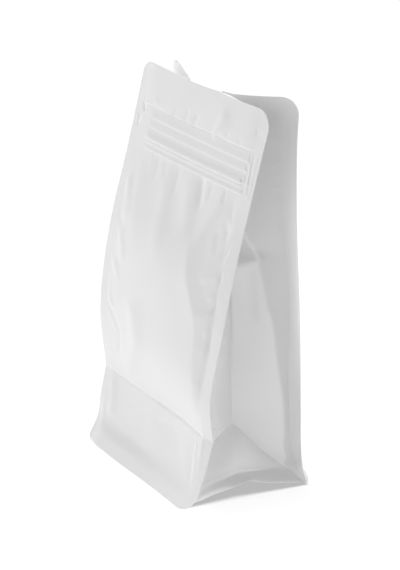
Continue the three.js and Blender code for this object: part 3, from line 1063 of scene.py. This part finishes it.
# %% Light through a side
def side_light(side, h):
    """Light that comes through a side: most in the plane of the back half below its long bend and in the
    triangle at the foot, where the film stands free, a little in the front half and above the bend, more
    again towards the tip of the back fin, along the foot of that fin's weld, in the pit where the strip under
    the sill meets the heel, deep in the fold at the mouth and in the far corner of the mouth; with it, a
    painted highlight along the sill and along the rim."""
    front_fin, front_half, before, behind, back_half, back_fin = (t + 0 * h for t in side_steps())
    lines = side_lines(side, h)
    s = back_half * straight_length(lines[4], lines[5])
    plane = between(back_half - through(BEND, h), PLANE_SOFT, -PLANE_SOFT)
    plane = plane * between(h - buckle_foot(s), PLANE_FOOT, -PLANE_FOOT)
    mouth = MOUTH_LIGHT * between(h, *MOUTH_HEIGHTS) * (1 - back_half) ** 2
    corner = SPIKE_LIGHT * between(h, *SPIKE_HEIGHTS) * (side < 0)
    valley = VALLEY_LIGHT * between(h, *VALLEY_HEIGHTS)
    pit = PIT_LIGHT * between(h, *VALLEY_HEIGHTS) * between(h, *PIT_HEIGHTS)
    foot = FOOT_LIGHT * between(h, *FOOT_HEIGHTS)
    above_sill = between(h, *STRIP_HEIGHTS)
    free = mix(STRIP_BACK, 1, above_sill)
    front_free = mix(STRIP_FRONT * before ** 2, 1, above_sill)
    # Painted highlight along the sill
    sill = SILL_HIGHLIGHT * bell(h, SILL_PLACE, SILL_HALF)
    in_triangle = between(h, *TRIANGLE_HEIGHTS)
    triangle_back = mix(*TRIANGLE_BACK, behind) * free + sill * between(behind, *SILL_END)
    back_glow = mix(FAINT_LIGHT * (1 - back_half), 1, plane) * free + folds(s, h, LIGHT_STREAKS)
    fin_glow = through(FIN_LIGHT, h)
    spans = [
        0 * front_fin,
        FAINT_LIGHT * (1 - front_half),
        in_triangle * (TRIANGLE_FRONT * front_free + sill),
        mix(plane[:1], triangle_back, in_triangle) + pit * between(behind, *PIT_START),
        back_glow + mouth + corner + valley * between(back_half, *VALLEY_START) + pit * (1 - back_half)
        + foot * between(back_half, *FOOT_START),
        back_fin ** FIN_LIGHT_POWER * fin_glow + corner + valley * (1 - back_fin) ** 2
        + foot * (1 - back_fin),
        (fin_glow + corner)[None],
    ]
    # The rim's painted highlight goes on every span
    return np.maximum(np.concatenate(spans), 0) + RIM_HIGHLIGHT * between(h, *RIM_HEIGHTS)


print(f"light through the right side from 0 to {side_light(1, ROWS).max():.1f}")

# %% [markdown]
# ## The right and the left side
#
# The same functions make both sides, one turned about, instead of one mesh and a Mirror modifier, because
# the four edges of a standing pouch are never quite alike. The left side's columns are put in the other
# order, which turns its faces outwards, and less light comes through to it.

# %% Right side
WELD_COLUMNS = (FIN_COLUMNS, FIN_COLUMNS - 2)


def side_weld(face, h):
    """One on the fins and along the weld of the bottom."""
    columns = np.arange(face.shape[0])[:, None]
    from_tip = np.minimum(columns, face.shape[0] - 1 - columns)
    return np.maximum(between(from_tip, *WELD_COLUMNS), low_band(h, SILL))


weld = side_weld(right, ROWS)
light = (side_light(1, ROWS), inside_light(ROWS))
right_gusset = film_piece("right_gusset", right, film_back(right), weld, light)

# %% Left side
LEFT_SHARE = 0.4
left = side_face(-1, ROWS)[::-1]
weld = side_weld(left, ROWS)
light = (LEFT_SHARE * side_light(-1, ROWS)[::-1], inside_light(ROWS))
left_gusset = film_piece("left_gusset", left, film_back(left), weld, light)

# %% [markdown]
# ## The bottom
#
# The bottom is a sheet with a fold across its middle, welded to the lower rims of the other four. Standing
# empty, it arches up from the floor, so the pouch rests on its front and back skirts. It is a ruled surface:
# straight lines from each point of the left rim to its partner on the right rim.

# %% Bottom panel
BOTTOM_COLUMNS = 90
BOTTOM_INSET = 0.35
BOTTOM_LIFT = 0.15
BOTTOM_LEAST = 0.1
BOTTOM_WELD = (34, 37)
BOTTOM_FOLDS = [
    ((-50, -22), (40, -20), 5.0, -0.5),
    ((-44, 20), (48, 23), 5.0, -0.5),
    ((-60, 0), (60, 0), 1.0, 0.5),
]
left_rim = side_face(-1, ROWS[:2])[:, 0] + [BOTTOM_INSET, 0, 0]
right_rim = side_face(1, ROWS[:2])[:, 0] - [BOTTOM_INSET, 0, 0]
t = np.linspace(0, 1, BOTTOM_COLUMNS)[:, None, None]
bottom = mix(left_rim, right_rim, t)[::-1]
bottom[..., 2] += BOTTOM_LIFT + folds(bottom[..., 0], bottom[..., 1], BOTTOM_FOLDS)
bottom[..., 2] = np.maximum(bottom[..., 2], BOTTOM_LEAST)
weld = between(np.abs(bottom[..., 1]), *BOTTOM_WELD)
bottom_panel = film_piece("bottom_panel", bottom, bottom - FILM * outward(bottom), weld)

# %% [markdown]
# ## The zip
#
# The zip is a strip of ribs under the front panel's film: a few stiff lips that lock into grooves. The weld
# of the side crushes both of its ends flat. A bevelled box for each rib would look stamped, so the strip is
# one surface whose lift over the panel is a sum of narrow bells, one for each rib, that die away at the ends.

# %% Ribs of the zip
ZIP_LOW = 207.6
ZIP_HIGH = 234.6
ZIP_LEFT = -54.0
ZIP_RIGHT = 65.5
# Each rib: its height on the panel, how far it stands out, and its half width above and below its crest
RIBS = [
    (208.8, 0.40, 2.0, 0.9),
    (212.6, 0.36, 1.4, 0.9),
    (215.2, 1.05, 3.2, 0.7),
    (222.6, 0.42, 3.2, 1.0),
    (228.4, 0.42, 3.0, 0.8),
]
ZIP_FOLDS = [
    ((58.4, 233.2), (59.4, 228.6), 0.8, -0.6),
    ((57.2, 226.6), (57.8, 223.6), 0.8, -0.5),
    ((56.0, 217.4), (57.0, 214.4), 1.0, -0.8),
    ((57.8, 213.2), (58.4, 210.8), 0.8, -0.5),
    ((61.0, 234.0), (63.6, 211.5), 0.7, -0.5),
    ((59.4, 233.5), (61.6, 210.5), 0.8, 0.3),
    ((-46.5, 232.0), (-47.0, 212.0), 0.8, 0.12),
]
ZIP_FLOOR = 0.04
ZIP_BACKING = 0.1
ZIP_LEAST = 0.02
ZIP_FADE = 1.0
ZIP_LEFT_FADE = 1.5
CRUSHED_LEFT = (-50.5, -44.5)
CRUSHED_RIGHT = (59, 57.2)
CRUSHED_SHARE = 0.12


def rib(h, place, top, above, below):
    """A rib across the zip: a bell that falls off more gently above its crest than below it."""
    return top * bell(h, place, np.where(h > place, above, below))


def zip_lift(x, h):
    """Lift of the zip over the panel: a thin strip that fades at its four sides, its ribs, which the welds of
    the sides have crushed at both ends, and the marks of those welds."""
    border = between(h, ZIP_LOW, ZIP_LOW + ZIP_FADE) * between(h, ZIP_HIGH, ZIP_HIGH - ZIP_FADE)
    border = border * between(x, ZIP_LEFT, ZIP_LEFT + ZIP_LEFT_FADE)
    border = border * between(x, ZIP_RIGHT, ZIP_RIGHT - ZIP_FADE)
    whole = mix(CRUSHED_SHARE, 1, between(x, *CRUSHED_LEFT) * between(x, *CRUSHED_RIGHT))
    ribs = sum(rib(h, *one) for one in RIBS) * whole
    return ZIP_FLOOR + np.maximum(border * (ZIP_BACKING + ribs + folds(x, h, ZIP_FOLDS)), ZIP_LEAST)


print(f"{len(RIBS)} ribs over {ZIP_HIGH - ZIP_LOW:.0f} mm")

# %% Zip strip
ZIP_COLUMNS = 260
ZIP_ROWS = 150
ZIP_MIDDLE = 5.5
ZIP_WELD = (53.5, 55.5)
across_zip = np.linspace(ZIP_LEFT, ZIP_RIGHT, ZIP_COLUMNS)
x, h = np.meshgrid(across_zip, np.linspace(ZIP_LOW, ZIP_HIGH, ZIP_ROWS), indexing="ij")
panel = front_face(x, h)
panel[..., 1] -= front_relief(x, h)
normal = outward(panel)
lifted = panel + normal * zip_lift(x, h)[..., None]
weld = between(np.abs(x - ZIP_MIDDLE), *ZIP_WELD)
zip_back = panel + normal * ZIP_FLOOR / 2
zip_ribs = film_piece("zip_ribs", lifted, zip_back, weld, None, "zip_strip")

# %% [markdown]
# ## Shader maths as expressions
#
# A finish is a small sum: so much noise times so much mask. Wiring each Math node by hand hides that, so a
# socket is wrapped in a class whose operators add the nodes.

# %% A socket that can be added and multiplied
class Socket:
    """One socket of a node tree. Adding, subtracting, multiplying or dividing it adds the Math node that does
    so and gives that node's output."""

    def __init__(self, tree, socket=None):
        self.tree = tree
        self.socket = socket

    def node(self, kind, settings=None, inputs=None, output=0):
        """Add a node: its type, its settings, set first, then the number, colour or Socket for each input."""
        made = self.tree.nodes.new(kind)
        for name, value in (settings or {}).items():
            setattr(made, name, value)
        for name, value in (inputs or {}).items():
            self.put(made.inputs[name], value)
        return Socket(self.tree, made.outputs[output])

    def put(self, target, value):
        """Link a Socket to an input, or set a plain value on it."""
        if isinstance(value, Socket):
            self.tree.links.new(value.socket, target)
        else:
            target.default_value = value

    def math(self, operation, first, second):
        """A Math node on two values."""
        return self.node("ShaderNodeMath", {"operation": operation}, {0: first, 1: second})

    def __add__(self, other):
        return self.math("ADD", self, other)

    def __radd__(self, other):
        return self.math("ADD", other, self)

    def __sub__(self, other):
        return self.math("SUBTRACT", self, other)

    def __rsub__(self, other):
        return self.math("SUBTRACT", other, self)

    def __mul__(self, other):
        return self.math("MULTIPLY", self, other)

    def __rmul__(self, other):
        return self.math("MULTIPLY", other, self)

    def __truediv__(self, other):
        return self.math("DIVIDE", self, other)

    def __rtruediv__(self, other):
        return self.math("DIVIDE", other, self)


print("a socket takes +, -, * and /")

# %% Greys and mixed colours
def grey(level):
    """A grey of that brightness, from black at 0 to white at 1."""
    return (level, level, level, 1)


def mixed_colour(make, amount, first, second):
    """A colour between two by an amount, from a Mix node."""
    inputs = {"Factor": amount, "A": first, "B": second}
    return make.node("ShaderNodeMix", {"data_type": "RGBA"}, inputs, "Result")


print("white is", grey(1))

# %% [markdown]
# ## The film's finish
#
# Matte laminate is not one flat white: its lacquer has a fine grain, the white layer is a little cloudy, and
# a weld, pressed between hot bars, comes out smoother and a touch denser. Noise on Object coordinates gives
# the grain and the cloud at their real size in metres, and the weld is read from the number kept in the mesh.

# %% White film
NOISE_ROUGHNESS = 0.55
CLOUD_SIZE = 0.03
MOTTLE_SIZE = 0.0016
GRAIN_SIZE = 0.0005
CLOUD_SHARE = 0.45
MOTTLE_SHARE = 0.55
WELD_SHARE = 0.12
GRAIN_SHARE = 0.5
GRAIN_HEIGHT = 0.0002
MOTTLE_ROUGH = 0.08
WELD_SMOOTH = 0.1
FILM_SHEEN = 0.35
THROUGH_LIGHT = 0.092


def noise(make, place, size, detail):
    """Noise from 0 to 1 whose patches are about that size in metres."""
    inputs = {"Vector": place, "Scale": 1 / size, "Detail": detail, "Roughness": NOISE_ROUGHNESS}
    return make.node("ShaderNodeTexNoise", None, inputs, "Fac")


def film_finish(name, white, shade, rough, grain):
    """A white film: colour between two near whites by cloud and grain, roughness lower on the welds, a bump
    of fine grain, and a glow where light comes through and where highlights are painted."""
    material = bpy.data.materials.new(name)
    material.use_nodes = True
    shader = material.node_tree.nodes["Principled BSDF"]
    make = Socket(material.node_tree)
    place = make.node("ShaderNodeTexCoord", None, None, "Object")
    weld = make.node("ShaderNodeAttribute", {"attribute_name": "weld"}, None, "Fac")
    shining = make.node("ShaderNodeAttribute", {"attribute_name": "through"}, None, "Fac")
    cloud = noise(make, place, CLOUD_SIZE, 2)
    mottle = noise(make, place, MOTTLE_SIZE, 2)
    fine = noise(make, place, GRAIN_SIZE, 1)
    amount = cloud * CLOUD_SHARE + mottle * MOTTLE_SHARE - weld * WELD_SHARE
    height = fine * GRAIN_SHARE + mottle * (1 - GRAIN_SHARE)
    bump = {"Height": height, "Strength": grain, "Distance": GRAIN_HEIGHT}
    make.put(shader.inputs["Base Color"], mixed_colour(make, amount, grey(white), grey(shade)))
    make.put(shader.inputs["Roughness"], rough + MOTTLE_ROUGH * mottle - WELD_SMOOTH * weld)
    make.put(shader.inputs["Normal"], make.node("ShaderNodeBump", None, bump))
    # The glow: light that comes through, and the painted highlights of the mouth's edge, the sill and the rim
    make.put(shader.inputs["Emission Color"], mixed_colour(make, shining * THROUGH_LIGHT, grey(0), grey(1)))
    shader.inputs["Emission Strength"].default_value = 1.0
    shader.inputs["Specular IOR Level"].default_value = FILM_SHEEN
    print(f"{name}: {len(material.node_tree.nodes)} nodes")
    return material


film_white = film_finish("film_white", 0.87, 0.82, 0.5, 0.25)
zip_white = film_finish("zip_white", 0.855, 0.805, 0.42, 0.2)
for piece in (front_panel, back_panel, right_gusset, left_gusset, bottom_panel):
    piece.data.materials.append(film_white)
zip_ribs.data.materials.append(zip_white)

# %% [markdown]
# ## The table
#
# The pouch stands on a white table, as bright as the backdrop; a glow of its own keeps it so everywhere. That
# glow would wash out the soft shade under the pouch. More lamps could bring it back, but they would light the
# film as well, so the shade is painted in the table's finish, in metres from the middle of the pouch: its end
# slants with the foot of the right side, and its edge is softest a little in front of the middle.

# %% Table
FLOOR_SIZE = 12.0
FLOOR_GLOW = 0.535
FLOOR_ROUGH = 0.9
# The table's white and its glow, each in the open and in the shade
FLOOR_WHITE = (0.92, 0.2)
GLOW_WHITE = (1, 0.74)
SHADE_HALF = (0.0632, 0.0445)
SHADE_LEFT = 0.058
SHADE_SLANT = 0.16
SHADE_SOFT = (0.0072, 0.003)
SOFTEST_AT = -0.0075
SOFT_FALL = 0.1


def sideways_and_back(make, output):
    """The X and the Y of an output of Texture Coordinate."""
    place = make.node("ShaderNodeTexCoord", None, None, output)
    return [make.node("ShaderNodeSeparateXYZ", None, {0: place}, axis) for axis in "XY"]


def ramp(make, value, start, end):
    """A smooth step from 0 to 1 as a socket's value goes from one number to another."""
    inputs = {"Value": value, "From Min": start, "From Max": end}
    return make.node("ShaderNodeMapRange", {"interpolation_type": "SMOOTHSTEP"}, inputs)


def soft_shade(make):
    """One in the shade under the pouch: how far a place is outside the slanting right end or the straight
    left end, over a softness that falls off from where the edge is softest, times the same from front to
    back."""
    sideways, backwards = sideways_and_back(make, "Object")
    outside = sideways - backwards * SHADE_SLANT - SHADE_HALF[0]
    outside = make.math("MAXIMUM", outside, -SHADE_LEFT - sideways)
    from_middle = make.math("ABSOLUTE", backwards, 0)
    from_softest = make.math("ABSOLUTE", backwards - SOFTEST_AT, 0)
    shade = 1 - ramp(make, outside / (SHADE_SOFT[0] - from_softest * SOFT_FALL), -1, 0)
    return shade * (1 - ramp(make, from_middle, SHADE_HALF[1] - SHADE_SOFT[1], SHADE_HALF[1]))


half = FLOOR_SIZE / 2
floor_mesh = bpy.data.meshes.new("floor")
corners = [(-half, -half, 0), (half, -half, 0), (half, half, 0), (-half, half, 0)]
floor_mesh.from_pydata(corners, [], [(0, 1, 2, 3)])
floor = bpy.data.objects.new("floor", floor_mesh)
bpy.context.scene.collection.objects.link(floor)
table_white = bpy.data.materials.new("table_white")
table_white.use_nodes = True
table = table_white.node_tree.nodes["Principled BSDF"]
make = Socket(table_white.node_tree)
shade = soft_shade(make)
make.put(table.inputs["Base Color"], mixed_colour(make, shade, *(grey(v) for v in FLOOR_WHITE)))
make.put(table.inputs["Emission Color"], mixed_colour(make, shade, *(grey(v) for v in GLOW_WHITE)))
table.inputs["Emission Strength"].default_value = FLOOR_GLOW
table.inputs["Roughness"].default_value = FLOOR_ROUGH
table.inputs["Specular IOR Level"].default_value = 0.0
floor_mesh.materials.append(table_white)
print(f"floor {FLOOR_SIZE:.0f} m across")

# %% [markdown]
# ## The light
#
# The wide soft light comes from the left and from behind, off a white backdrop, and a weak soft box fills in
# from the right of the camera. That is why the front is brightest, the folded side is grey and a surface
# grows darker as it turns upwards. A ring of lamps could do this too; a world that is brighter on two sides
# does it without edges.

# %% Lights
FILL_PLACE = (0.6, -1.5, 0.6)
FILL_AIM = (0, 0, 0.13)
FILL_SIZE = 1.0
FILL_POWER = 0.4
SKY = 0.015
FROM_LEFT_FRONT = 1.57
FROM_BEHIND = 1.2


def soft_box(name, place, aim, size, power):
    """A square area light that looks from its place at a point."""
    data = bpy.data.lights.new(name, "AREA")
    data.shape = "SQUARE"
    data.size = size
    data.energy = power
    box = bpy.data.objects.new(name, data)
    box.location = place
    direction = np.array(aim) - np.array(place)
    flat = math.hypot(direction[0], direction[1])
    box.rotation_euler = (math.atan2(flat, -direction[2]), 0, math.atan2(-direction[0], direction[1]))
    bpy.context.scene.collection.objects.link(box)
    return box


soft_box("fill_light", FILL_PLACE, FILL_AIM, FILL_SIZE, FILL_POWER)
world = bpy.data.worlds.new("studio")
world.use_nodes = True
background = world.node_tree.nodes["Background"]
make = Socket(world.node_tree)
sideways, backwards = sideways_and_back(make, "Generated")
left_front = make.math("MAXIMUM", (sideways + backwards) * -math.sqrt(0.5), 0)
behind = make.math("MAXIMUM", backwards, 0)
make.put(background.inputs["Strength"], SKY + FROM_LEFT_FRONT * left_front + FROM_BEHIND * behind)
background.inputs["Color"].default_value = grey(1)
bpy.context.scene.world = world
bpy.context.scene.view_settings.view_transform = "Standard"
print("light from the left of the front, from behind, and a weak fill")
